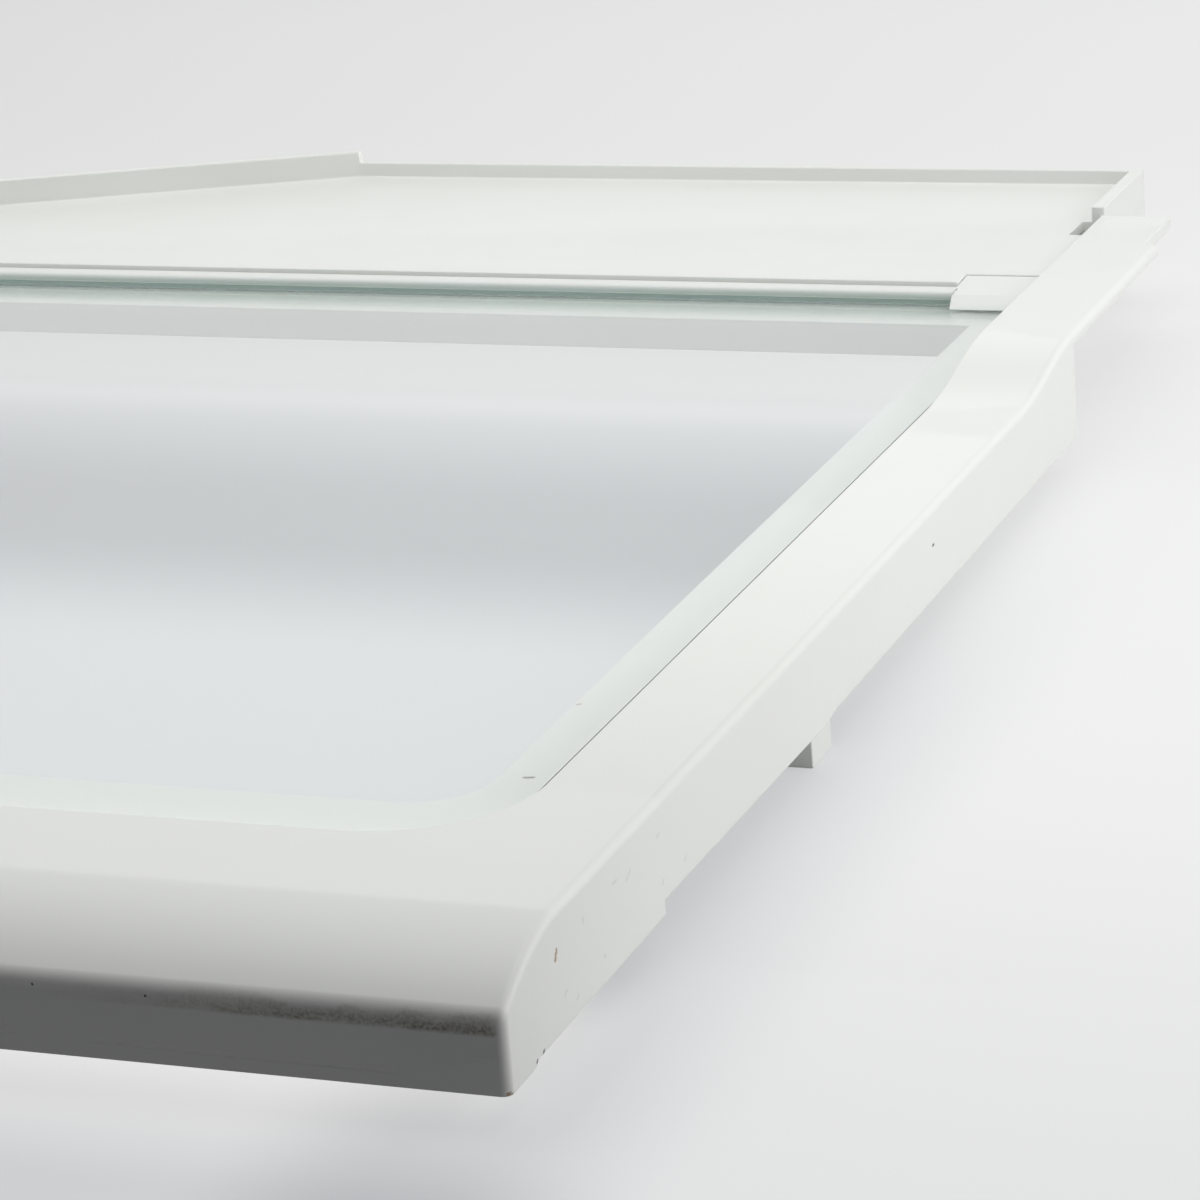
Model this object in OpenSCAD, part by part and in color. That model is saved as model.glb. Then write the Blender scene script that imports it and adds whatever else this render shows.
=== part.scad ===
/* [Cover] */
// Overall width across the two side rails
cover_w = 660; // [600:5:740]
// Overall depth from the front face to the rear wall
cover_d = 435; // [425:1:460]
// Wall of the white moulding
wall = 2.4; // [2:0.1:2.8]
// Round along the outer top edges and the front corners
edge_r = 1.5; // [1:0.1:1.9]
// Thickness of the stiffening ribs underneath
rib_t = 1.6; // [1.2:0.1:2]
// How far the walls around window and deck reach below the rail top
apron_h = 11; // [10:0.1:13]
// Clearance between the clipped retainer and the moulding
fit_gap = 0.2; // [0.15:0.05:0.3]

/* [Fascia] */
// How far the front face stands forward of the crease
fascia_reach = 19.4; // [18.4:0.1:21]
// How far the front face's lower edge lies below the rail top
fascia_h = 19; // [18.6:0.1:22]
// Radius of the crowned top of the fascia
crown_r = 45; // [40:1:60]
// Slope in degrees with which the crown starts at the crease
crown_slope = 8.6; // [7:0.1:10]
// Radius of the soft crease between crown and front rail
crease_r = 12; // [8:0.5:15]
// Radius of the nose between crown and front face
nose_r = 3.2; // [3:0.1:4]
// Distance between the webs inside the fascia
fascia_web_pitch = 55; // [40:1:80]
// Depth of the fascia webs below the rail top
fascia_web_h = 14; // [10:0.5:17]

/* [Rails] */
// Flat width of the front rail, from the crease to the glass seat
front_rail = 22.5; // [20:0.1:26]
// Width of a side rail, from its outer face to the glass seat
side_rail = 18.5; // [17:0.1:22]
// Corner radius of the glass seat
seat_corner_r = 22.5; // [18:0.5:26]
// Distance from the crease to the foot of the ramp
ramp_start = 242; // [225:1:250]
// Length of the ramp
ramp_run = 44; // [36:0.5:55]
// Rise of the ramp, from the side rail to the raised arm
arm_rise = 4.7; // [4.5:0.1:7]
// How far an arm ends before the rear wall
arm_setback = 36.6; // [32:0.1:42]
// Depth of the step in the outer edge at the end of an arm
arm_jog = 3; // [2:0.1:4]
// Length of that step
arm_jog_len = 24.5; // [18:0.5:28]
// Distance between the webs inside a side rail
rail_web_pitch = 46; // [35:1:60]
// Depth of the rail webs below the rail top
rail_web_h = 12; // [9:0.5:15]

/* [Skirt] */
// Depth of the skirt beside the fascia
skirt_front_h = 18.2; // [17.5:0.1:18.5]
// Distance from the crease to the step in the skirt's lower edge
skirt_step_y = 42.4; // [35:0.1:50]
// Depth of the skirt behind that step
skirt_mid_h = 15.9; // [14:0.1:17]
// Depth of the skirt beside the foot
skirt_foot_h = 17.1; // [16:0.1:18]
// Depth of the skirt from the foot to its rear end
skirt_rear_h = 16.4; // [14:0.1:17.5]
// Distance from the crease to the rear end of the skirt
skirt_end = 283; // [275:0.5:290]

/* [Feet] */
// Distance from the crease to the middle of a foot
foot_y = 120.3; // [100:0.1:140]
// Length of a foot along the rail
foot_l = 10.2; // [8:0.1:14]
// Width of a foot across the rail
foot_w = 8; // [6.5:0.1:10]
// Depth of a foot below the rail top
foot_h = 23.1; // [22:0.1:26]

/* [Glass] */
// Thickness of the glass pane
glass_t = 3.2; // [3:0.1:4]
// Depth of the glass pane, front to rear
glass_d = 300; // [285:1:308]
// How far the glass lies below the rail top
glass_drop = 0.8; // [0.5:0.1:1.2]
// Clearance around the glass pane
glass_gap = 0.4; // [0.3:0.05:0.8]
// Width of the ledge under the front edge of the glass
ledge_front = 16.2; // [12:0.1:19]
// Width of the ledge under the side edges of the glass
ledge_side = 10.3; // [8:0.1:13]
// Width of the ledge under the rear edge of the glass
ledge_rear = 12.9; // [10:0.1:17]
// Corner radius at the front of the window
window_corner_r = 11; // [8:0.5:14]

/* [Retainer] */
// How far the retainer strip laps over the glass
strip_lap = 1.5; // [1:0.1:2.5]
// Width of the strip
strip_w = 3.7; // [3.4:0.1:5]
// Height of the strip above the rail top
strip_top = 2.4; // [2:0.1:2.8]
// Gap between the strip and the glass
strip_lift = 1; // [0.6:0.1:1.2]
// Width of an end tab
tab_w = 16.7; // [14:0.1:20]
// Depth of an end tab
tab_d = 14.4; // [13:0.1:17]
// How far an end tab stands forward of the strip
tab_lap = 4; // [3:0.1:6]
// Size of the bevel along the front of a tab
tab_bevel = 2.7; // [2:0.1:3]
// Fall of the tab's top towards the front
tab_fall = 1.1; // [0.8:0.1:1.4]
// Number of snap legs between the tabs
snap_count = 4; // [2:1:6]
// Width of a snap leg
snap_w = 10; // [6:0.5:14]
// Catch of a snap leg under the ledge
snap_catch = 1; // [0.6:0.1:1.2]

/* [Deck] */
// Height of the rear deck above the rail top
deck_z = 3.4; // [3:0.1:4.5]
// Height of the lip around the deck, above the deck
lip_h = 3.25; // [2.5:0.05:5]
// Thickness of the rear lip
rear_lip_t = 2; // [1.6:0.1:2.6]
// Thickness of the side lips
side_lip_t = 3; // [2.4:0.1:3.6]
// How far a side lip stands outboard of the glass seat
side_lip_out = 0.9; // [0:0.1:1.5]
// Half width of the duct notch at the rear lip
notch_rear_x = 120.4; // [100:0.1:150]
// Half width of the notch's flat centre
notch_flat_x = 28; // [15:0.5:50]
// Depth of the notch, forward of the rear lip
notch_depth = 39.6; // [30:0.1:50]
// Height of the notch wall above the deck
notch_wall_h = 5.9; // [5.5:0.1:9]
// Length of the slot beside the end of an arm
slot_l = 12; // [8:0.5:14]
// Width of that slot
slot_w = 4.2; // [3:0.1:5]
// Distance between the ribs under the deck
deck_rib_pitch = 62; // [45:1:80]
// How far the deck ribs reach below the rail top
deck_rib_h = 6; // [4:0.5:8]

/* [Hidden] */

// Heights and depths below are measured from the flat rail top and from the crease
half_w = cover_w / 2;
rear_y = cover_d - fascia_reach;
over = 1;

// Centres of the arcs that make the fascia's section: crease, crown and nose
crease_c = [crease_r * tan(crown_slope / 2), -crease_r];
crown_c = crease_c - (crown_r - crease_r) * [-sin(crown_slope), cos(crown_slope)];
nose_y = nose_r - fascia_reach;
nose_c = [nose_y, crown_c[1] + sqrt(pow(crown_r - nose_r, 2) - pow(nose_y - crown_c[0], 2))];
crown_a0 = 90 + crown_slope;
crown_a1 = atan2(nose_c[1] - crown_c[1], nose_c[0] - crown_c[0]);
nose_steps = 8;
crown_steps = 14;
crown_step = (crown_a1 - crown_a0) / crown_steps;
crease_steps = 3;
roll_steps = 6;

// The ramp is two arcs of one radius that meet halfway up
ramp_end = ramp_start + ramp_run;
ramp_r = (pow(ramp_run, 2) + pow(arm_rise, 2)) / (4 * arm_rise);
ramp_a = asin(ramp_run / (2 * ramp_r));
ramp_steps = 10;
arm_end = rear_y - arm_setback;
arm_under = arm_rise - wall;

// Glass seat, window and crossbar
seat_x = half_w - side_rail;
seat_z = -glass_drop - glass_t;
window_x = seat_x - ledge_side;
window_y = front_rail + ledge_front;
glass_front = front_rail + glass_gap;
glass_rear = glass_front + glass_d;
window_rear = glass_rear - ledge_rear;
strip_front = glass_rear - strip_lap;
strip_rear = strip_front + strip_w;
deck_front = strip_rear + fit_gap;
snap_front = glass_rear + glass_gap;

// End tabs of the retainer and the pockets that take them
tab_x1 = seat_x - fit_gap;
tab_x0 = tab_x1 - tab_w;
tab_front = strip_front - tab_lap;
tab_rear = tab_front + tab_d;
tab_top = deck_z - fit_gap;

// Deck, lips and notch
lip_x = seat_x + side_lip_out;
notch_y = rear_y - rear_lip_t - notch_depth;
notch_a = atan2(notch_depth, notch_rear_x - notch_flat_x);
foot_x = half_w - wall;

// A quarter of a disc, in the quadrant where both coordinates are positive
module quarter(r) {
    intersection() {
        circle(r, $fn = 96);
        square(r);
    }
}

// Draws an elevation (depth, height) and extrudes it across the cover
module across(x0, x1) {
    translate([x0, 0, 0]) rotate([90, 0, 90]) linear_extrude(x1 - x0) children();
}

// Draws a plan and extrudes it between two heights
module between(z0, z1) {
    translate([0, 0, z0]) linear_extrude(z1 - z0) children();
}

module both_sides() {
    children();
    mirror([1, 0, 0]) children();
}

// Points along an arc, from angle a0 to angle a1
function arc(centre, r, a0, a1, steps) =
    [for (i = [0:steps]) let(a = a0 + (a1 - a0) * i / steps) centre + r * [cos(a), sin(a)]];

// Side view of fascia, rail, ramp and arm, moved inwards by the inset:
// front face, nose, crown, crease, rail, the two arcs of the ramp, arm
function side_path(inset, floor_z) = concat(
    [[inset - fascia_reach, floor_z]],
    arc(nose_c, nose_r - inset, 180, crown_a1, nose_steps),
    arc(crown_c, crown_r - inset, crown_a1 - crown_step, crown_a0, crown_steps - 1),
    arc(crease_c, crease_r - inset, crown_a0 - crown_slope / crease_steps, 90, crease_steps - 1),
    arc([ramp_start, ramp_r], ramp_r + inset, -90, ramp_a - 90, ramp_steps),
    arc([ramp_end, arm_rise - ramp_r], ramp_r - inset, 90 + ramp_a * (1 - 1 / ramp_steps), 90, ramp_steps - 1),
    [[arm_end, arm_rise - inset], [arm_end, floor_z]]
);

// Closed skin over side views of equal point count, one for each [x, points]
module skin(sections) {
    count = len(sections[0][1]);
    last = len(sections) - 1;
    polyhedron(
        points = [for (s = sections) for (p = s[1]) [s[0], p[0], p[1]]],
        faces = concat(
            [[for (j = [count - 1:-1:0]) j]],
            [[for (j = [0:count - 1]) last * count + j]],
            [for (i = [0:last - 1]) for (j = [0:count - 1]) let(k = (j + 1) % count)
                [i * count + j, i * count + k, (i + 1) * count + k, (i + 1) * count + j]]
        )
    );
}

// Outer form of fascia, rails and arms: the side view carried across the cover,
// drawn in at both ends so that one round follows the outer edge over nose, crown and ramp
module rolled_envelope() {
    turns = [for (i = [0:roll_steps]) 90 * i / roll_steps];
    roll = [for (t = turns) [half_w - edge_r + edge_r * sin(t), side_path(edge_r - edge_r * cos(t), -fascia_h)]];
    right = concat(roll, [[half_w + over, side_path(edge_r, -fascia_h)]]);
    left = [for (i = [roll_steps + 1:-1:0]) [-right[i][0], right[i][1]]];
    intersection() {
        skin(concat(left, right));
        across(-half_w, half_w) translate([-fascia_reach - over, -foot_h])
            square([cover_d + over, foot_h + arm_rise + over]);
    }
}

// Everything below the skirt's stepped lower edge and below the arms
module below_skirt() {
    polygon([
        [-fascia_reach / 2, -foot_h],
        [-fascia_reach / 2, -fascia_h],
        [fascia_h - skirt_front_h - fascia_reach / 2, -skirt_front_h],
        [skirt_step_y, -skirt_front_h],
        [skirt_step_y, -skirt_mid_h],
        [foot_y - foot_l / 2, -skirt_foot_h],
        [foot_y, -skirt_foot_h],
        [foot_y + foot_l / 2, -skirt_rear_h],
        [skirt_end, -skirt_rear_h],
        [skirt_end, arm_under],
        [arm_end + over, arm_under],
        [arm_end + over, -foot_h]
    ]);
}

// Plan with rounded front corners
module rounded_front(half_x, y0, y1, r) {
    translate([-half_x, y0 + r]) square([2 * half_x, y1 - y0 - r]);
    translate([r - half_x, y0]) square([2 * (half_x - r), r]);
    translate([half_x - r, y0 + r]) rotate(-90) quarter(r);
    translate([r - half_x, y0 + r]) rotate(180) quarter(r);
}

module seat_plan(grow, y1) {
    rounded_front(seat_x + grow, front_rail - grow, y1, seat_corner_r + grow);
}

module window_plan(grow) {
    rounded_front(window_x + grow, window_y - grow, window_rear + grow, window_corner_r + grow);
}

// Fascia, side rails, ramps and arms as one shell, open below,
// with the wall around the glass seat hanging from its inner edge
module outer_shell() {
    difference() {
        rolled_envelope();
        difference() {
            across(wall - half_w, half_w - wall) polygon(side_path(wall, -foot_h));
            between(seat_z - wall, arm_rise + over) seat_plan(wall, rear_y);
        }
        between(-foot_h, arm_rise + over) seat_plan(0, rear_y);
        across(-half_w - over, half_w + over) below_skirt();
        both_sides() translate([half_w - arm_jog, arm_end - arm_jog_len, arm_under - over])
            cube([arm_jog + over, arm_jog_len + over, wall + 2 * over]);
    }
}

// Ledge that carries the glass and the wall around the window
module glass_seat() {
    between(seat_z - wall, seat_z) difference() {
        seat_plan(wall / 2, deck_front + wall);
        window_plan(0);
    }
    between(-apron_h, seat_z - wall / 2) difference() {
        window_plan(wall);
        window_plan(0);
    }
    // Side walls of the crossbar and of the deck, under the arms
    both_sides() translate([seat_x, skirt_end - wall, -apron_h])
        cube([wall, arm_end - skirt_end + wall, apron_h + arm_under + wall / 2]);
}

// The duct notch, drawn from the deck side of its wall
module notch_plan(shrink) {
    rear = rear_y + over;
    flat_x = notch_flat_x - shrink * tan(notch_a / 2);
    rear_x = notch_flat_x + (rear - notch_y) / tan(notch_a) - shrink / sin(notch_a);
    polygon([
        [-flat_x, notch_y + shrink],
        [flat_x, notch_y + shrink],
        [rear_x, rear],
        [-rear_x, rear]
    ]);
}

module deck_plan() {
    difference() {
        union() {
            translate([-seat_x - wall / 2, deck_front])
                square([2 * seat_x + wall, arm_end - deck_front]);
            translate([-lip_x, arm_end - wall]) square([2 * lip_x, rear_y - arm_end + wall]);
        }
        notch_plan(wall);
        both_sides() translate([tab_x0 - fit_gap, deck_front - over])
            square([seat_x - tab_x0 + fit_gap, tab_rear - deck_front + fit_gap + over]);
        both_sides() translate([seat_x - slot_w, arm_end - slot_l]) square([slot_w, slot_l]);
    }
}

// Lips and walls that stand around the deck
module deck_rim() {
    between(-apron_h, deck_z + lip_h) difference() {
        union() {
            translate([-lip_x, rear_y - rear_lip_t]) square([2 * lip_x, rear_lip_t]);
            both_sides() translate([lip_x - side_lip_t, arm_end]) square([side_lip_t, rear_y - arm_end]);
        }
        notch_plan(wall);
    }
    between(-apron_h, deck_z + notch_wall_h) intersection() {
        difference() {
            notch_plan(0);
            notch_plan(wall);
        }
        translate([-notch_rear_x, notch_y - over]) square([2 * notch_rear_x, rear_y - notch_y + over]);
    }
}

// Front wall of the deck, which steps back around the tab pockets
module deck_riser() {
    between(-apron_h, deck_z - wall / 2) {
        translate([fit_gap - tab_x0, deck_front]) square([2 * (tab_x0 - fit_gap), wall]);
        both_sides() {
            translate([tab_x0 - fit_gap - wall, deck_front])
                square([wall, tab_rear + fit_gap + wall - deck_front]);
            translate([tab_x0 - fit_gap - wall, tab_rear + fit_gap])
                square([seat_x + wall - tab_x0 + fit_gap + wall, wall]);
        }
    }
    // Floor under the tab pockets
    both_sides() translate([tab_x0 - fit_gap - wall, deck_front, seat_z - wall])
        cube([seat_x + wall - tab_x0 + fit_gap + wall, tab_rear + fit_gap + wall - deck_front, wall]);
}

// Ribs under the deck, fore and aft, clear of the tab pockets
module deck_ribs() {
    count = floor((tab_x0 - wall) / deck_rib_pitch);
    between(-deck_rib_h, deck_z - wall / 2) intersection() {
        deck_plan();
        union() {
            for (i = [-count:count])
                translate([i * deck_rib_pitch - rib_t / 2, deck_front]) square([rib_t, rear_y - deck_front]);
            translate([-seat_x, (deck_front + notch_y) / 2]) square([2 * seat_x, rib_t]);
        }
    }
}

// Webs between the fascia's front wall and the wall of the glass seat
module fascia_webs() {
    count = floor((seat_x - seat_corner_r) / fascia_web_pitch);
    for (i = [-count:count])
        across(i * fascia_web_pitch - rib_t / 2, i * fascia_web_pitch + rib_t / 2) intersection() {
            polygon(side_path(wall / 2, -fascia_h));
            translate([-fascia_reach, -fascia_web_h])
                square([fascia_reach + front_rail - wall / 2, fascia_web_h]);
        }
}

// Webs between a skirt and the wall of the glass seat
module rail_webs() {
    count = floor((ramp_start - 2 * rail_web_pitch) / rail_web_pitch);
    for (i = [0:count])
        translate([seat_x + wall / 2, skirt_step_y + i * rail_web_pitch, -rail_web_h])
            cube([side_rail - 1.5 * wall, rib_t, rail_web_h - wall / 2]);
}

// Foot cored out from its inner side
module foot() {
    difference() {
        translate([foot_x - foot_w, foot_y - foot_l / 2, -foot_h])
            cube([foot_w + wall / 2, foot_l, foot_h - wall / 2]);
        translate([foot_x - foot_w - over, foot_y - foot_l / 2 + wall, wall - foot_h])
            cube([foot_w - wall + over, foot_l - 2 * wall, foot_h - 2 * wall]);
    }
}

// Middle of each snap leg, the two under the tabs included
snap_step = 2 * (tab_x0 + tab_w / 2) / (snap_count + 1);
snap_x = [for (i = [0:snap_count + 1]) (i - (snap_count + 1) / 2) * snap_step];

module frame() {
    color([0.93, 0.94, 0.92]) difference() {
        union() {
            outer_shell();
            glass_seat();
            between(deck_z - wall, deck_z) deck_plan();
            deck_rim();
            deck_riser();
            deck_ribs();
            fascia_webs();
            both_sides() rail_webs();
            both_sides() foot();
        }
        // Slots for the snap legs
        for (x = snap_x)
            translate([x - snap_w / 2 - fit_gap, snap_front - fit_gap, seat_z - wall - over])
                cube([snap_w + 2 * fit_gap, deck_front - snap_front + fit_gap, wall + 2 * over]);
    }
}

module glass_pane() {
    color([0.80, 0.90, 0.87, 0.4]) between(seat_z, -glass_drop)
        rounded_front(seat_x - glass_gap, glass_front, glass_rear, seat_corner_r - glass_gap);
}

// Section of a snap leg with its hook under the ledge
module snap_section() {
    hook_top = seat_z - wall - fit_gap;
    polygon([
        [snap_front, seat_z + wall],
        [snap_front, hook_top],
        [snap_front - fit_gap - snap_catch, hook_top],
        [snap_front, hook_top - 2 * snap_catch],
        [strip_rear, hook_top - 2 * snap_catch],
        [strip_rear, seat_z + wall]
    ]);
}

module glass_retainer() {
    strip_under = strip_lift - glass_drop;
    nose = (strip_top - strip_under) / 2;
    tab_under = fit_gap - glass_drop;
    color([0.91, 0.92, 0.90]) {
        // Strip with a rounded front, and its flange behind the glass edge
        across(-tab_x0 - fit_gap, tab_x0 + fit_gap) {
            translate([strip_front + nose, strip_under + nose]) circle(nose, $fn = 48);
            translate([strip_front + nose, strip_under]) square([strip_w - nose, 2 * nose]);
            translate([snap_front, seat_z]) square([strip_rear - snap_front, strip_top - seat_z]);
        }
        // Tabs with a bevelled front and a foot on the ledge
        both_sides() across(tab_x0, tab_x1) polygon([
            [tab_front, tab_under],
            [tab_front + tab_bevel, tab_top - tab_fall],
            [tab_rear - fit_gap, tab_top],
            [tab_rear - fit_gap, seat_z],
            [snap_front, seat_z],
            [snap_front, tab_under]
        ]);
        for (x = snap_x) across(x - snap_w / 2, x + snap_w / 2) snap_section();
    }
}

// The cover stands on its feet, centred on the middle of its depth
module placed() {
    translate([0, fascia_reach - cover_d / 2, foot_h]) children();
}

placed() frame();
placed() glass_pane();
placed() glass_retainer();
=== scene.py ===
import math

import bmesh
import bpy
from mathutils import Euler, Matrix, Vector


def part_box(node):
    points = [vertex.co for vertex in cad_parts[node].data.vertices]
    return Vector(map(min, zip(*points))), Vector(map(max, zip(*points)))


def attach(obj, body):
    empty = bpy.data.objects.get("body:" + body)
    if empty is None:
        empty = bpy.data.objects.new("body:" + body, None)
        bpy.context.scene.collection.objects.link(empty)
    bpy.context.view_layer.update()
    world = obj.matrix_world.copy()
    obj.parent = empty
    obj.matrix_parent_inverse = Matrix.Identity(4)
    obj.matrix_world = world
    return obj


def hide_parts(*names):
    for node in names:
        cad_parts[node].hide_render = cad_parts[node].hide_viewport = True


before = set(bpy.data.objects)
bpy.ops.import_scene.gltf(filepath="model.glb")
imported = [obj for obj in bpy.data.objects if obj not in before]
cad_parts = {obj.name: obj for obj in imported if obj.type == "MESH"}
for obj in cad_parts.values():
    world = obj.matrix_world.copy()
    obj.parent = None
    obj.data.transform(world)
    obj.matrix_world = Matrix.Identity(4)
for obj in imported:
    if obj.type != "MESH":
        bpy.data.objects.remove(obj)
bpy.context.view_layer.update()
MM = 0.001


# Camera
# It stands in front of the right corner, a little above the cover, as the photographer did.
# Its place, turn and lens were found from the straight edges of the cover in the photograph.
CAMERA_PLACE = Vector((0.53301, -0.67754, 0.23787))
CAMERA_TURN = math.radians(21.9)
CAMERA_DIP = math.radians(18.2)
CAMERA_ROLL = math.radians(-4.3)
CAMERA_LENS = 124.5
CAMERA_SENSOR = 36

camera_data = bpy.data.cameras.new("camera")
camera_data.lens = CAMERA_LENS
camera_data.sensor_width = CAMERA_SENSOR
camera_data.clip_start = 0.05
camera_data.clip_end = 50
camera = bpy.data.objects.new("camera", camera_data)
upright = Euler((math.pi / 2 - CAMERA_DIP, 0, CAMERA_TURN)).to_matrix().to_4x4()
camera.matrix_world = Matrix.Translation(CAMERA_PLACE) @ upright @ Matrix.Rotation(CAMERA_ROLL, 4, "Z")
bpy.context.scene.collection.objects.link(camera)
bpy.context.scene.camera = camera


# Frame
# One injection-moulded part of white ABS: crowned fascia, side rails with their skirts, glass ledge,
# ramps, raised arms and the lipped rear deck. The tool leaves every edge with a small round, and
# use has left grime along the nose, a few chips and hairline scratches.
MERGE_DISTANCE = 0.002 * MM
FLAT_ANGLE = math.radians(0.3)
EDGE_ANGLE = math.radians(35)
MOULD_ROUND = 0.3 * MM
ROUND_STEPS = 2
ARC_STEP = math.radians(4)


def merged_copy(node):
    """A welded copy of a CAD node's mesh, with flat areas joined into single faces."""
    bm = bmesh.new()
    bm.from_mesh(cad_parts[node].data)
    bmesh.ops.remove_doubles(bm, verts=bm.verts, dist=MERGE_DISTANCE)
    bmesh.ops.dissolve_limit(bm, angle_limit=FLAT_ANGLE, verts=bm.verts, edges=bm.edges)
    return bm


def sharp_edges(bm):
    return [e for e in bm.edges if len(e.link_faces) == 2 and e.calc_face_angle(0) > EDGE_ANGLE]


def refine_arcs(bm, centres, reach):
    """Puts more points on the upright arcs about each centre, so that they are round in close view."""
    for centre in centres:
        arcs = []
        for edge in sharp_edges(bm):
            spokes = [v.co.xy - centre for v in edge.verts]
            if max(s.length for s in spokes) > reach or abs(spokes[0].length - spokes[1].length) > 0.01 * MM:
                continue
            if spokes[0].angle(spokes[1], 0) > ARC_STEP:
                arcs.append((edge, spokes[0].length, spokes[0].angle(spokes[1])))
        fresh = set()
        for edge, radius, angle in arcs:
            pieces = int(angle / ARC_STEP) + 1
            near, far = edge.verts
            for count in range(pieces, 1, -1):
                edge, vert = bmesh.utils.edge_split(edge, near, 1 / count)
                edge = next(e for e in vert.link_edges if far in e.verts)
                near = vert
                fresh.add(vert)
                spoke = (vert.co.xy - centre).normalized() * radius
                vert.co.x = centre.x + spoke.x
                vert.co.y = centre.y + spoke.y
        join_upright_pairs(fresh)


def join_upright_pairs(fresh):
    """Cuts each wall facet between new points that stand one above the other."""
    for vert in list(fresh):
        for face in list(vert.link_faces):
            for other in face.verts:
                if other is vert or other not in fresh or (other.co.xy - vert.co.xy).length > 0.003 * MM:
                    continue
                if not any(other in e.verts for e in vert.link_edges):
                    bmesh.utils.face_split(face, vert, other)
                break


def round_edges(bm, radius, steps, kept=()):
    """Rounds every sharp edge but the kept ones."""
    bmesh.ops.bevel(
        bm, geom=[e for e in sharp_edges(bm) if e not in kept], offset=radius, offset_type="OFFSET", segments=steps,
        profile=0.5, affect="EDGES", clamp_overlap=False, loop_slide=False,
    )


def mean_width(face):
    spans = [max(v.co[i] for v in face.verts) - min(v.co[i] for v in face.verts) for i in range(3)]
    return face.calc_area() / max(max(spans), 1e-9)


def shaded_mesh(bm, name):
    """Turns a bmesh into a mesh whose normals follow the wide faces, so that flats stay flat and rounds smooth."""
    widths = {face: mean_width(face) ** 2 for face in bm.faces}
    normals = []
    for vert in bm.verts:
        total = Vector()
        for loop in vert.link_loops:
            total += loop.face.normal * widths[loop.face] * loop.calc_angle()
        normals.append(total.normalized())
    mesh = bpy.data.meshes.new(name)
    bm.to_mesh(mesh)
    bm.free()
    mesh.shade_smooth()
    mesh.normals_split_custom_set_from_vertices(normals)
    return mesh


def new_piece(mesh, name, node, material):
    """Adds a finished piece that stands for a CAD node."""
    piece = bpy.data.objects.new(name, mesh)
    bpy.context.scene.collection.objects.link(piece)
    mesh.materials.clear()
    mesh.materials.append(material)
    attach(piece, "root")
    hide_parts(node)
    return piece


def new_material(name):
    material = bpy.data.materials.new(name)
    material.use_nodes = True
    material.node_tree.nodes.clear()
    return material


def add_node(tree, kind, place, **settings):
    """Adds a node at a column and row of the editor, with its settings and its inputs' values or links."""
    node = tree.nodes.new(kind)
    node.location = (place[0] * 220, -place[1] * 200)
    for key, value in settings.items():
        if key == "inputs":
            for socket, content in value.items():
                if isinstance(content, bpy.types.NodeSocket):
                    tree.links.new(content, node.inputs[socket])
                else:
                    node.inputs[socket].default_value = content
        else:
            setattr(node, key, value)
    return node


# The seat's front corner arcs are centred one seat radius in from the glass and from the rail
glass_low, glass_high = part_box("glass_pane")
SEAT_GAP = 0.4 * MM
SEAT_RADIUS = 22.5 * MM
LEDGE_SIDE = 10.3 * MM
LEDGE_FRONT = 16.2 * MM
WINDOW_RADIUS = 11 * MM
seat_corner = Vector((glass_high.x + SEAT_GAP - SEAT_RADIUS, glass_low.y - SEAT_GAP + SEAT_RADIUS))
window_corner = Vector((
    glass_high.x + SEAT_GAP - LEDGE_SIDE - WINDOW_RADIUS,
    glass_low.y - SEAT_GAP + LEDGE_FRONT + WINDOW_RADIUS,
))

frame_shell = merged_copy("frame")
for corner in (seat_corner, window_corner):
    refine_arcs(frame_shell, [corner, Vector((-corner.x, corner.y))], 26 * MM)
# The ramp's underside meets the arm's in a step too small to be rounded
STEP_Y = 84.9 * MM
STEP_Z = (25.3 * MM, 25.45 * MM)
step_edges = {
    edge for edge in frame_shell.edges
    if all(abs(v.co.y - STEP_Y) < 0.05 * MM and STEP_Z[0] < v.co.z < STEP_Z[1] for v in edge.verts)
}
round_edges(frame_shell, MOULD_ROUND, ROUND_STEPS, step_edges)
frame_mesh = shaded_mesh(frame_shell, "frame_moulding")


def new_group(name, inputs, outputs):
    """A shader node group with the named inputs, each with its kind and value, and the named outputs."""
    group = bpy.data.node_groups.new(name, "ShaderNodeTree")
    for label, kind, value in inputs:
        socket = group.interface.new_socket(label, in_out="INPUT", socket_type="NodeSocket" + kind)
        socket.default_value = value
    for label, kind in outputs:
        group.interface.new_socket(label, in_out="OUTPUT", socket_type="NodeSocket" + kind)
    entry = add_node(group, "NodeGroupInput", (0, 0))
    return group, entry.outputs, add_node(group, "NodeGroupOutput", (9, 0)).inputs


def ramp(tree, place, value, start, end, low=0.0, high=1.0, kind="SMOOTHSTEP"):
    """A soft step of a value, from low at its start to high at its end."""
    step = add_node(tree, "ShaderNodeMapRange", place, interpolation_type=kind, inputs={
        "Value": value, "From Min": start, "From Max": end, "To Min": low, "To Max": high,
    })
    return step.outputs[0]


def maths(tree, place, operation, first, second=0.0, third=0.0):
    node = add_node(tree, "ShaderNodeMath", place, operation=operation, inputs={0: first, 1: second, 2: third})
    return node.outputs[0]


def vectors(tree, place, operation, first, second):
    node = add_node(tree, "ShaderNodeVectorMath", place, operation=operation, inputs={0: first, 1: second})
    return node.outputs["Value" if operation in ("DOT_PRODUCT", "LENGTH") else "Vector"]


def blend(tree, place, share, first, second):
    node = add_node(tree, "ShaderNodeMix", place, data_type="RGBA", inputs={0: share, 6: first, 7: second})
    return node.outputs[2]


def noise(tree, place, position, scale, detail):
    node = add_node(tree, "ShaderNodeTexNoise", place, inputs={"Vector": position, "Scale": scale, "Detail": detail})
    return node.outputs["Fac"]


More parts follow.
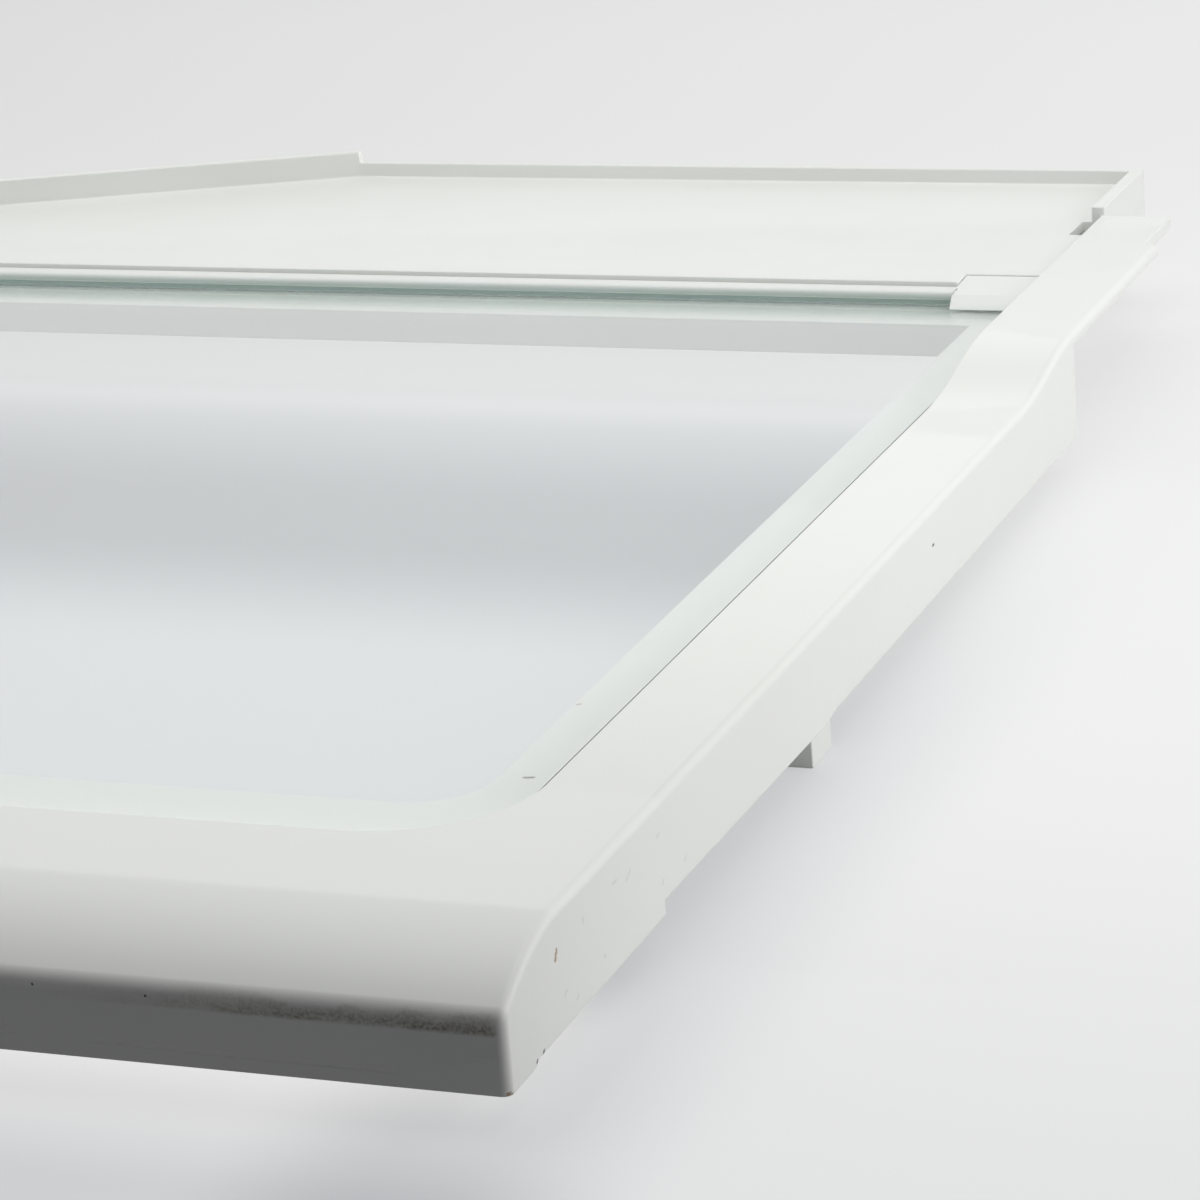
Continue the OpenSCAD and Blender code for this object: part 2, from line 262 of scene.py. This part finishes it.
# Moulded skin: cloudy tone and gloss of a polished tool's plastic, and its faint orange peel
skin_group, given, result = new_group(
    "moulded_skin",
    (("Position", "Vector", (0, 0, 0)), ("Clouds", "Float", 14.0), ("Peel", "Float", 500.0)),
    (("Tone", "Float"), ("Gloss", "Float"), ("Height", "Float")),
)
clouds = noise(skin_group, (1, 0), given["Position"], given["Clouds"], 4.0)
skin_group.links.new(ramp(skin_group, (2, 0), clouds, 0.32, 0.68), result["Tone"])
finer = maths(skin_group, (1, 1), "MULTIPLY", given["Clouds"], 7.3)
haze = noise(skin_group, (2, 1), given["Position"], finer, 5.0)
skin_group.links.new(ramp(skin_group, (3, 1), haze, 0.30, 0.70), result["Gloss"])
skin_group.links.new(noise(skin_group, (1, 2), given["Position"], given["Peel"], 2.0), result["Height"])

# Mark: a ragged spot or stroke between two points, for chips, pits, specks and scratches
mark_group, given, result = new_group(
    "mark",
    (("Position", "Vector", (0, 0, 0)), ("Start", "Vector", (0, 0, 0)), ("End", "Vector", (0, 0, 0)),
     ("Width", "Float", 0.001), ("Raggedness", "Float", 0.0)),
    (("Mask", "Float"),),
)
span = vectors(mark_group, (1, 0), "SUBTRACT", given["End"], given["Start"])
spoke = vectors(mark_group, (1, 1), "SUBTRACT", given["Position"], given["Start"])
square = maths(mark_group, (3, 0), "MAXIMUM", vectors(mark_group, (2, 0), "DOT_PRODUCT", span, span), 1e-12)
share = maths(mark_group, (4, 0), "DIVIDE", vectors(mark_group, (2, 1), "DOT_PRODUCT", spoke, span), square)
held = add_node(mark_group, "ShaderNodeClamp", (5, 0), inputs={0: share}).outputs[0]
nearest = add_node(mark_group, "ShaderNodeVectorMath", (6, 0), operation="SCALE", inputs={0: span, "Scale": held}).outputs[0]
offset = vectors(mark_group, (7, 0), "SUBTRACT", spoke, nearest)
away = add_node(mark_group, "ShaderNodeVectorMath", (7, 1), operation="LENGTH", inputs={0: offset}).outputs["Value"]
ragged = maths(mark_group, (7, 2), "MULTIPLY_ADD", given["Raggedness"], given["Width"], away)
core = maths(mark_group, (7, 3), "MULTIPLY", given["Width"], 0.45)
mark_group.links.new(ramp(mark_group, (8, 0), ragged, given["Width"], core), result["Mask"])


def place_group(tree, group, place, inputs):
    node = add_node(tree, "ShaderNodeGroup", place, node_tree=group, inputs=inputs)
    return node.outputs


def marks(tree, row, position, strokes, roughness):
    """The strongest of a list of strokes, each its start, its end and its width in millimetres."""
    mask = 0.0
    for column, (start, end, width) in enumerate(strokes):
        stroke = place_group(tree, mark_group, (column, row), {
            "Position": position, "Start": Vector(start) * MM, "End": Vector(end) * MM,
            "Width": width * MM, "Raggedness": roughness,
        })
        mask = maths(tree, (column, row + 1), "MAXIMUM", stroke["Mask"], mask)
    return mask


def moulded_plastic(name, pale, warm, smooth, rough, peel_strength):
    """Satin moulded plastic: its two tones and the span of its roughness. Returns what marks are added to."""
    material = new_material(name)
    tree = material.node_tree
    position = add_node(tree, "ShaderNodeTexCoord", (0, 0)).outputs["Object"]
    skin = place_group(tree, skin_group, (1, 0), {"Position": position, "Clouds": 14.0, "Peel": 500.0})
    colour = blend(tree, (2, 0), skin["Tone"], pale, warm)
    roughness = ramp(tree, (2, 1), skin["Gloss"], 0.0, 1.0, smooth, rough, kind="LINEAR")
    peel = add_node(tree, "ShaderNodeBump", (2, 2), inputs={
        "Strength": peel_strength, "Distance": 0.015 * MM, "Height": skin["Height"],
    })
    return material, tree, position, colour, roughness, peel.outputs[0]


plastic, tree, position, colour, roughness, normal = moulded_plastic(
    "white_moulding", (0.842, 0.856, 0.818, 1), (0.828, 0.840, 0.798, 1), 0.285, 0.36, 0.25)
raggedness = maths(tree, (1, 3), "MULTIPLY_ADD", noise(tree, (0, 3), position, 2200.0, 2.0), 1.6, -0.8)

# Kitchen grime in the fold under the nose, thickest towards the right corner
GRIME_FOOT = (12.6 * MM, 13.3 * MM)
GRIME_TOP = (16.2 * MM, 14.0 * MM)
GRIME_FRONT = (-212.5 * MM, -215.0 * MM)
GRIME_LEFT = (255 * MM, 312 * MM)
GRIME_CORNER = (329.3 * MM, 327.5 * MM)
GRIME_COLOUR = (0.235, 0.21, 0.16, 1)
where = add_node(tree, "ShaderNodeSeparateXYZ", (0, 5), inputs={0: position}).outputs
flat_clumps = add_node(tree, "ShaderNodeMapping", (0, 6), inputs={"Vector": position, "Scale": (0.45, 1, 1)}).outputs[0]
clumps = ramp(tree, (2, 6), noise(tree, (1, 6), flat_clumps, 330.0, 4.0), 0.30, 0.62)
grit = ramp(tree, (2, 7), noise(tree, (1, 7), position, 2100.0, 2.0), 0.32, 0.68)
lift = maths(tree, (3, 7), "MULTIPLY_ADD", clumps, 1.6 * MM, -0.8 * MM)
level = maths(tree, (4, 7), "ADD", where["Z"], lift)
grime = maths(tree, (5, 6), "MULTIPLY", ramp(tree, (4, 5), where["Z"], *GRIME_FOOT), ramp(tree, (4, 6), level, *GRIME_TOP))
for row, limits in enumerate((GRIME_LEFT, GRIME_CORNER)):
    grime = maths(tree, (6, 5 + row), "MULTIPLY", grime, ramp(tree, (5, 7 + row), where["X"], *limits))
grime = maths(tree, (7, 5), "MULTIPLY", grime, ramp(tree, (5, 9), where["Y"], *GRIME_FRONT))
grime = maths(tree, (7, 6), "MULTIPLY", grime, maths(tree, (6, 7), "MULTIPLY_ADD", grit, 0.50, 0.50))
grime = maths(tree, (7, 7), "MULTIPLY", grime, maths(tree, (6, 8), "MULTIPLY_ADD", clumps, 0.55, 0.45))

# Dark specks and bruises, brown chips, grey spots of painted shade in small pits, and pale hairline scratches, as
# (start, end, width) in millimetres
FACE_Y = -217.5
SIDE_X = 330.0
DARK_MARKS = (
    ((259.65, FACE_Y, 14.62), (259.70, FACE_Y, 14.55), 0.30),
    ((277.02, FACE_Y, 14.34), (277.10, FACE_Y, 14.34), 0.28),
    ((SIDE_X, -204.9, 5.5), (SIDE_X, -205.2, 5.2), 0.36),
    ((SIDE_X, -207.4, 5.1), (SIDE_X, -207.7, 4.9), 0.34),
    ((SIDE_X, -15.4, 16.4), (SIDE_X, -14.6, 16.3), 0.34),
    ((305.7, -146.9, 19.1), (306.7, -146.7, 19.1), 0.55),
)
PIT_SHADE_SPOTS = (
    ((SIDE_X, -195.4, 10.2), (SIDE_X, -196.1, 9.7), 0.34),
    ((SIDE_X, -191.3, 7.7), (SIDE_X, -191.9, 7.3), 0.34),
    ((SIDE_X, -157.5, 17.7), (SIDE_X, -156.6, 18.0), 0.34),
    ((SIDE_X, -146.8, 9.8), (SIDE_X, -146.2, 10.3), 0.34),
    ((SIDE_X, -170.6, 16.3), (SIDE_X, -168.8, 17.2), 0.34),
    ((SIDE_X, -175.8, 17.9), (SIDE_X, -174.4, 17.9), 0.32),
    ((SIDE_X, -156.5, 10.0), (SIDE_X, -155.9, 10.5), 0.32),
    ((SIDE_X, -187.7, 17.7), (SIDE_X, -187.7, 17.1), 0.36),
    ((SIDE_X, -180.5, 8.8), (SIDE_X, -180.9, 9.2), 0.34),
)
BROWN_MARKS = (
    ((SIDE_X, -198.0, 17.1), (SIDE_X, -198.5, 16.1), 0.55),
    ((SIDE_X, -216.8, 4.3), (329.6, -217.3, 4.3), 0.55),
    ((302.1, -115.6, 19.1), (302.4, -115.4, 19.1), 0.35),
)
SCRATCHES = (
    ((267.35, FACE_Y, 6.74), (294.25, FACE_Y, 6.40), 0.15),
    ((294.25, FACE_Y, 6.40), (308.34, FACE_Y, 6.36), 0.13),
    ((308.34, FACE_Y, 6.36), (314.18, FACE_Y, 6.20), 0.10),
    ((253.60, FACE_Y, 7.00), (257.40, FACE_Y, 6.88), 0.13),
    ((324.50, FACE_Y, 10.05), (328.60, FACE_Y, 9.90), 0.13),
)
DARK_COLOUR = (0.06, 0.055, 0.05, 1)
PIT_SHADE_COLOUR = (0.55, 0.55, 0.52, 1)
BROWN_COLOUR = (0.30, 0.17, 0.07, 1)
SCRATCH_COLOUR = (0.93, 0.93, 0.92, 1)
dark = marks(tree, 10, position, DARK_MARKS, raggedness)
brown = marks(tree, 13, position, BROWN_MARKS, raggedness)
pit_shade = marks(tree, 19, position, PIT_SHADE_SPOTS, raggedness)
scratched = marks(tree, 16, position, SCRATCHES, 0.0)

colour = blend(tree, (9, 0), maths(tree, (8, 1), "MULTIPLY", grime, 0.95), colour, GRIME_COLOUR)
# Painted shade: the small pits are greyed where shade falls in them
colour = blend(tree, (9, 2), maths(tree, (8, 3), "MULTIPLY", pit_shade, 0.35), colour, PIT_SHADE_COLOUR)
colour = blend(tree, (10, 0), maths(tree, (9, 1), "MULTIPLY", brown, 0.8), colour, BROWN_COLOUR)
colour = blend(tree, (11, 0), maths(tree, (10, 1), "MULTIPLY", dark, 0.95), colour, DARK_COLOUR)
colour = blend(tree, (12, 0), scratched, colour, SCRATCH_COLOUR)
roughness = maths(tree, (11, 2), "MULTIPLY_ADD", grime, 0.35, roughness)
groove = add_node(tree, "ShaderNodeBump", (12, 3), inputs={
    "Strength": 1.0, "Distance": 0.05 * MM, "Height": scratched, "Normal": normal,
})
skin = add_node(tree, "ShaderNodeBsdfPrincipled", (13, 0), inputs={
    "Base Color": colour, "Roughness": roughness, "IOR": 1.5, "Normal": groove.outputs[0],
})
add_node(tree, "ShaderNodeOutputMaterial", (14, 0), inputs={"Surface": skin.outputs[0]})

new_piece(frame_mesh, "frame_moulding", "frame", plastic)


# Glass
# A pane of clear tempered float glass, cut with two rounded front corners and ground all round.
# It lies loose on the moulding's ledge, just below the rails, and the retainer traps its rear edge.
CLEAR_COLOUR = (0.972, 0.995, 1.0, 1)
EDGE_COLOUR = (0.84, 0.94, 0.91, 1)
EDGE_ROUGHNESS = 0.5

glass = new_material("glass")
tree = glass.node_tree
facing = add_node(tree, "ShaderNodeSeparateXYZ", (-1, 2), inputs={
    0: add_node(tree, "ShaderNodeNewGeometry", (-2, 2)).outputs["True Normal"],
}).outputs["Z"]
side_on = ramp(tree, (1, 2), maths(tree, (0, 2), "ABSOLUTE", facing), 0.97, 0.60)
pane = add_node(tree, "ShaderNodeBsdfPrincipled", (3, 0), inputs={
    "Base Color": blend(tree, (2, 2), side_on, CLEAR_COLOUR, EDGE_COLOUR),
    "Roughness": maths(tree, (2, 3), "MULTIPLY", side_on, EDGE_ROUGHNESS),
    "IOR": 1.52,
    "Transmission Weight": 1.0,
})
passing = add_node(tree, "ShaderNodeBsdfTransparent", (3, 1), inputs={"Color": (0.99, 1.0, 0.995, 1)})
path = add_node(tree, "ShaderNodeLightPath", (1, 0))
unseen = add_node(tree, "ShaderNodeMath", (2, 0), operation="MAXIMUM", inputs={
    0: path.outputs["Is Shadow Ray"],
    1: path.outputs["Is Diffuse Ray"],
})
both = add_node(tree, "ShaderNodeMixShader", (4, 0), inputs={
    0: unseen.outputs[0],
    1: pane.outputs[0],
    2: passing.outputs[0],
})
add_node(tree, "ShaderNodeOutputMaterial", (5, 0), inputs={"Surface": both.outputs[0]})

# The pane's outline is a rectangle with its two front corners rounded. An edge profile with ground
# arrises is swept round it, and the flat faces close it above and below.
PANE_RADIUS = SEAT_RADIUS - SEAT_GAP
REAR_RADIUS = 1.0 * MM
GROUND = 0.5 * MM
BED_GAP = 0.05 * MM

pane_tree = bpy.data.node_groups.new("glass_pane", "GeometryNodeTree")
for label, value in (
    ("Width", glass_high.x - glass_low.x),
    ("Depth", glass_high.y - glass_low.y),
    ("Thickness", glass_high.z - glass_low.z - BED_GAP),
    ("Front Radius", PANE_RADIUS),
    ("Rear Radius", REAR_RADIUS),
    ("Ground Edge", GROUND),
):
    socket = pane_tree.interface.new_socket(label, in_out="INPUT", socket_type="NodeSocketFloat")
    socket.default_value = value
pane_tree.interface.new_socket("Geometry", in_out="OUTPUT", socket_type="NodeSocketGeometry")
given = add_node(pane_tree, "NodeGroupInput", (0, 0)).outputs
twice = maths(pane_tree, (1, 0), "MULTIPLY", given["Ground Edge"], 2.0)
outline = add_node(pane_tree, "GeometryNodeCurvePrimitiveQuadrilateral", (2, 0), inputs={
    "Width": maths(pane_tree, (1, 1), "SUBTRACT", given["Width"], twice),
    "Height": maths(pane_tree, (1, 2), "SUBTRACT", given["Depth"], twice),
}).outputs[0]
spot = add_node(pane_tree, "GeometryNodeInputPosition", (0, 3)).outputs[0]
spot_y = add_node(pane_tree, "ShaderNodeSeparateXYZ", (1, 3), inputs={0: spot}).outputs["Y"]
in_front = maths(pane_tree, (2, 3), "LESS_THAN", spot_y, 0.0)
front_round = maths(pane_tree, (2, 4), "SUBTRACT", given["Front Radius"], given["Ground Edge"])
rear_round = maths(pane_tree, (2, 5), "SUBTRACT", given["Rear Radius"], given["Ground Edge"])
corner = add_node(pane_tree, "ShaderNodeMix", (3, 3), inputs={0: in_front, 2: rear_round, 3: front_round}).outputs[0]
rounded = add_node(pane_tree, "GeometryNodeFilletCurve", (4, 0), mode="POLY", inputs={
    "Curve": outline, "Count": 20, "Radius": corner,
}).outputs[0]
upright = add_node(pane_tree, "GeometryNodeSetCurveNormal", (5, 0), mode="Z_UP", inputs={"Curve": rounded}).outputs[0]
# The sweep turns the profile over, so its top is at minus the thickness
over = maths(pane_tree, (1, 7), "MULTIPLY", given["Thickness"], -1.0)
edge_points = {}
for row, (name, out, up) in enumerate((
    ("Point 1", 0.0, 0.0), ("Point 2", given["Ground Edge"], 0.0),
    ("Point 3", given["Ground Edge"], over), ("Point 4", 0.0, over),
)):
    edge_points[name] = add_node(pane_tree, "ShaderNodeCombineXYZ", (2, 7 + row), inputs={"X": out, "Y": up}).outputs[0]
square_edge = add_node(pane_tree, "GeometryNodeCurvePrimitiveQuadrilateral", (3, 7), mode="POINTS", inputs=edge_points)
spot_x = add_node(pane_tree, "ShaderNodeSeparateXYZ", (3, 9), inputs={0: spot}).outputs["X"]
arris = maths(pane_tree, (4, 9), "MULTIPLY", maths(pane_tree, (4, 8), "GREATER_THAN", spot_x, 0.0), given["Ground Edge"])
ground_edge = add_node(pane_tree, "GeometryNodeFilletCurve", (5, 7), mode="POLY", inputs={
    "Curve": square_edge.outputs[0], "Count": 4, "Radius": arris,
}).outputs[0]
edge_profile = add_node(pane_tree, "GeometryNodeSetSplineCyclic", (6, 7), inputs={
    "Geometry": ground_edge, "Cyclic": False,
}).outputs[0]
inward = add_node(pane_tree, "GeometryNodeCurveToMesh", (7, 0), inputs={
    "Curve": upright, "Profile Curve": edge_profile,
}).outputs[0]
swept = add_node(pane_tree, "GeometryNodeFlipFaces", (8, 0), inputs={"Mesh": inward}).outputs[0]
underside = add_node(pane_tree, "GeometryNodeFillCurve", (7, 2), mode="NGONS", inputs={"Curve": rounded}).outputs[0]
lift = add_node(pane_tree, "ShaderNodeCombineXYZ", (7, 4), inputs={"Z": given["Thickness"]}).outputs[0]
top = add_node(pane_tree, "GeometryNodeTransform", (8, 2), inputs={
    "Geometry": underside, "Translation": lift,
}).outputs[0]
turned = add_node(pane_tree, "GeometryNodeFlipFaces", (8, 3), inputs={"Mesh": underside}).outputs[0]
parts = add_node(pane_tree, "GeometryNodeJoinGeometry", (9, 0))
for part in (swept, top, turned):
    pane_tree.links.new(part, parts.inputs[0])
closed = add_node(pane_tree, "GeometryNodeMergeByDistance", (10, 0), inputs={
    "Geometry": parts.outputs[0], "Distance": 0.01 * MM,
}).outputs[0]
single = add_node(pane_tree, "GeometryNodeRealizeInstances", (11, 0), inputs={"Geometry": closed}).outputs[0]
finished = add_node(pane_tree, "GeometryNodeSetMaterial", (12, 0), inputs={"Geometry": single, "Material": glass}).outputs[0]
add_node(pane_tree, "NodeGroupOutput", (13, 0), inputs={"Geometry": finished})

blank = bpy.data.objects.new("glass_blank", bpy.data.meshes.new("glass_blank"))
bpy.context.scene.collection.objects.link(blank)
cutting = blank.modifiers.new("cutting", "NODES")
cutting.node_group = pane_tree
for item in pane_tree.interface.items_tree:
    if item.in_out == "INPUT":
        cutting[item.identifier] = item.default_value
evaluated = blank.evaluated_get(bpy.context.evaluated_depsgraph_get())
pane_mesh = bpy.data.meshes.new_from_object(evaluated)
blank.modifiers.remove(cutting)
bpy.data.objects.remove(blank)
pane_mesh.transform(Matrix.Translation((0, (glass_low.y + glass_high.y) / 2, glass_low.z + BED_GAP)))
pane_shell = bmesh.new()
pane_shell.from_mesh(pane_mesh)
new_piece(shaded_mesh(pane_shell, "glass_sheet"), "glass_sheet", "glass_pane", glass)


# Retainer
# A white clip strip, moulded apart: a rounded bar over the rear edge of the glass with a bevelled tab
# at each end. Snap legs pass through slots in the ledge and hook under it.
retainer_shell = merged_copy("glass_retainer")
round_edges(retainer_shell, 0.25 * MM, 2)
clip_plastic, tree, position, colour, roughness, normal = moulded_plastic(
    "white_retainer", (0.862, 0.876, 0.846, 1), (0.850, 0.864, 0.830, 1), 0.285, 0.345, 0.05)
# Its upright front is painted darker and greyish green towards the glass, on the tabs only near the foot:
# painted shade where the strip meets the glass, with a painted reflection of the glass's green
FOOT_SHADE_COLOUR = (0.60, 0.72, 0.72, 1)
TAB_WIDTH = 16.7 * MM
TAB_LIFT = 1.8 * MM
spot = add_node(tree, "ShaderNodeSeparateXYZ", (-1, 4), inputs={0: position}).outputs
on_tab = maths(tree, (-1, 6), "GREATER_THAN", maths(tree, (-1, 7), "ABSOLUTE", spot["X"]),
               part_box("glass_retainer")[1].x - TAB_WIDTH)
height = maths(tree, (0, 4), "ADD", spot["Z"], maths(tree, (0, 6), "MULTIPLY", on_tab, TAB_LIFT))
turned_to = add_node(tree, "ShaderNodeSeparateXYZ", (0, 5), inputs={
    0: add_node(tree, "ShaderNodeNewGeometry", (-1, 5)).outputs["Normal"],
}).outputs["Y"]
low_down = ramp(tree, (1, 4), height, 25.7 * MM, 23.0 * MM)
foot = maths(tree, (2, 4), "MULTIPLY", low_down, ramp(tree, (1, 5), turned_to, -0.5, -0.9))
# Painted shade and a painted green reflection of the glass, low on the front
foot_shade_tint = blend(tree, (3, 4), foot, (1, 1, 1, 1), FOOT_SHADE_COLOUR)
darkened = add_node(tree, "ShaderNodeMix", (4, 4), data_type="RGBA", blend_type="MULTIPLY", inputs={
    0: 1.0, 6: colour, 7: foot_shade_tint,
}).outputs[2]
skin = add_node(tree, "ShaderNodeBsdfPrincipled", (3, 0), inputs={
    "Base Color": darkened, "Roughness": roughness, "IOR": 1.5, "Normal": normal,
})
add_node(tree, "ShaderNodeOutputMaterial", (4, 0), inputs={"Surface": skin.outputs[0]})
new_piece(shaded_mesh(retainer_shell, "retainer_strip"), "retainer_strip", "glass_retainer",
          clip_plastic)


# Studio
# The cover stands on a pale sheet under two wide soft lamps and a small one over its right corner. One
# stands to the right, and a long dim one lights what faces the front at the rear. Pale walls stand low
# behind it and at the sides; the front is unlit.
FLOOR_SIZE = 8
SHEET_COLOUR = (0.86, 0.86, 0.865, 1)
SHEET_GLOW = 0.7
SHADE_COLOUR = (0.95, 0.99, 1.03, 1)
SHEET_NEAR = 0.04
SHEET_FAR = 0.68
SHEET_NEAR_Y = -0.243
SHEET_FAR_Y = -0.16

floor_mesh = bpy.data.meshes.new("floor")
half = FLOOR_SIZE / 2
floor_mesh.from_pydata([(-half, -half, 0), (half, -half, 0), (half, half, 0), (-half, half, 0)], [], [(0, 1, 2, 3)])
floor = bpy.data.objects.new("floor", floor_mesh)
bpy.context.scene.collection.objects.link(floor)

# The sheet glows a little by itself, so that the cover's own shadow on it stays soft and faint. Its glow is
# painted light and shade: brighter towards the right, and each row here adds a painted pool of light or takes
# a painted shadow in a zone: its strength, then where it comes in and goes out along x, |x| or y.
# What lights the cover from the sheet is darker in front.
sheet = new_material("floor_sheet")
tree = sheet.node_tree
coords = add_node(tree, "ShaderNodeTexCoord", (0, 1))
place = add_node(tree, "ShaderNodeSeparateXYZ", (1, 1), inputs={0: coords.outputs["Object"]})
across = place.outputs["X"]
along = place.outputs["Y"]
aside = maths(tree, (2, 1), "ABSOLUTE", across)
# Rows with a positive strength paint pools of light, rows with a negative strength paint shadows
PAINTED_LIGHT_ZONES = (
    (0.08, ((along, 0.30, 0.60),)),
    (-0.08, ((along, -0.08, -0.26),)),
    (-0.20, ((aside, 0.29, 0.32), (aside, 0.362, 0.325), (along, 0.06, -0.10), (along, -0.42, -0.30))),
    (-0.385, ((along, 0.125, 0.035), (along, -0.05, 0.015), (aside, 0.335, 0.28))),
    (-0.14, ((aside, 0.32, 0.28), (along, 0.13, 0.09), (along, -0.20, -0.17))),
    (0.165, ((aside, 0.32, 0.28), (along, 0.09, 0.13), (along, 0.25, 0.20))),
    (-0.09, ((across, 0.20, -0.06), (along, -0.16, 0.06), (along, 0.25, 0.20))),
    (-0.16, ((along, -0.224, -0.246), (along, -0.42, -0.30), (aside, 0.36, 0.33))),
    (0.26, ((along, -0.232, -0.206), (along, -0.165, -0.19), (aside, 0.338, 0.322))),
)
open_glow = ramp(tree, (3, 0), across, -0.25, 0.36, 0.742, 0.905, kind="LINEAR")
glow = open_glow
for row, (strength, steps) in enumerate(PAINTED_LIGHT_ZONES):
    share = strength
    for column, (value, start, end) in enumerate(steps):
        share = maths(tree, (4 + 2 * column, row), "MULTIPLY", ramp(tree, (3 + 2 * column, row), value, start, end), share)
    glow = maths(tree, (12, row), "ADD", glow, share)
shade = maths(tree, (12, 10), "SUBTRACT", open_glow, glow)
# The painted shadows are tinted a little blue
floor_shade_tint = blend(tree, (13, 4), maths(tree, (12, 11), "MULTIPLY", shade, 2.0), (1, 1, 1, 1), SHADE_COLOUR)
glow_shader = add_node(tree, "ShaderNodeEmission", (13, 0), inputs={"Color": floor_shade_tint, "Strength": glow})
seen_sheet = add_node(tree, "ShaderNodeBsdfDiffuse", (13, 1), inputs={"Color": SHEET_COLOUR})
seen = add_node(tree, "ShaderNodeMixShader", (14, 0), inputs={
    0: SHEET_GLOW, 1: seen_sheet.outputs[0], 2: glow_shader.outputs[0],
})
bounce = ramp(tree, (12, 9), along, SHEET_NEAR_Y, SHEET_FAR_Y, SHEET_NEAR, SHEET_FAR)
lit_sheet = add_node(tree, "ShaderNodeBsdfDiffuse", (13, 2), inputs={"Color": bounce})
path = add_node(tree, "ShaderNodeLightPath", (13, 3))
mix = add_node(tree, "ShaderNodeMixShader", (15, 0), inputs={
    0: path.outputs["Is Diffuse Ray"], 1: seen.outputs[0], 2: lit_sheet.outputs[0],
})
add_node(tree, "ShaderNodeOutputMaterial", (16, 0), inputs={"Surface": mix.outputs[0]})
sheet.cycles.emission_sampling = "NONE"
floor_mesh.materials.append(sheet)

LAMPS = {
    "top_lamp": {"place": (0.10, 0.15, 0.55), "size": (1.2, 0.5), "watts": 1.36,
                 "turn": (0, 0), "colour": (1, 1, 1)},
    "front_lamp": {"place": (0.15, 0.0, 0.45), "size": (1.2, 0.5), "watts": 0.67,
                   "turn": (0, 0), "colour": (1, 1, 1)},
    "corner_lamp": {"place": (0.35, 0.02, 0.55), "size": (0.5, 0.3), "watts": 1.0,
                    "turn": (0, 0), "colour": (1, 1, 1)},
    "side_lamp": {"place": (0.75, 0.12, 0.30), "size": (0.35, 0.45), "watts": 0.528,
                  "turn": (0, 1.3), "colour": (1, 1, 1)},
    "rear_lamp": {"place": (0.24, -0.10, 0.22), "size": (0.8, 0.1), "watts": 0.21,
                  "turn": (1.3, 0), "colour": (0.95, 0.99, 1.03)},
}
for name, lamp in LAMPS.items():
    data = bpy.data.lights.new(name, "AREA")
    data.shape = "RECTANGLE"
    data.size, data.size_y = lamp["size"]
    data.energy = lamp["watts"]
    data.color = lamp["colour"]
    fixture = bpy.data.objects.new(name, data)
    fixture.location = lamp["place"]
    fixture.rotation_euler = (*lamp["turn"], 0)
    bpy.context.scene.collection.objects.link(fixture)

# The walls give light by direction: a long low one behind, and a soft round patch at each side
REAR_LIGHT = 0.82
REAR_TOP = (0.64, 0.46)
REAR_SPAN = (0.0, 0.5)
SIDE_RISE = 0.15
SIDE_EDGE = 0.6
RIGHT_LIGHT = 1.38
LEFT_LIGHT = 0.94
FRONT_TINT = (0.98, 0.98, 1.04, 1)

world = bpy.data.worlds.new("studio")
bpy.context.scene.world = world
world.use_nodes = True
tree = world.node_tree
tree.nodes.clear()
coords = add_node(tree, "ShaderNodeTexCoord", (0, 0))
outwards = add_node(tree, "ShaderNodeSeparateXYZ", (1, 0), inputs={0: coords.outputs["Generated"]})
low_wall = ramp(tree, (2, 0), outwards.outputs["Z"], *REAR_TOP)
behind = ramp(tree, (2, 1), outwards.outputs["Y"], *REAR_SPAN, low=0.0, high=REAR_LIGHT)
total = maths(tree, (3, 0), "MULTIPLY", low_wall, behind)
for row, (side, strength) in enumerate(((1, RIGHT_LIGHT), (-1, LEFT_LIGHT))):
    cosine = add_node(tree, "ShaderNodeVectorMath", (1, 2 + row), operation="DOT_PRODUCT", inputs={
        0: coords.outputs["Generated"], 1: Vector((side, 0, SIDE_RISE)).normalized(),
    })
    patch = ramp(tree, (2, 2 + row), cosine.outputs["Value"], SIDE_EDGE, 1.0, 0.0, strength)
    total = maths(tree, (3, 1 + row), "ADD", total, patch)
in_front = ramp(tree, (3, 3), outwards.outputs["Y"], 0.1, -0.4)
tint = blend(tree, (4, 1), in_front, (1, 1, 1, 1), FRONT_TINT)
light = add_node(tree, "ShaderNodeBackground", (5, 0), inputs={"Color": tint, "Strength": total})
add_node(tree, "ShaderNodeOutputWorld", (6, 0), inputs={"Surface": light.outputs[0]})

bpy.context.scene.view_settings.view_transform = "Standard"
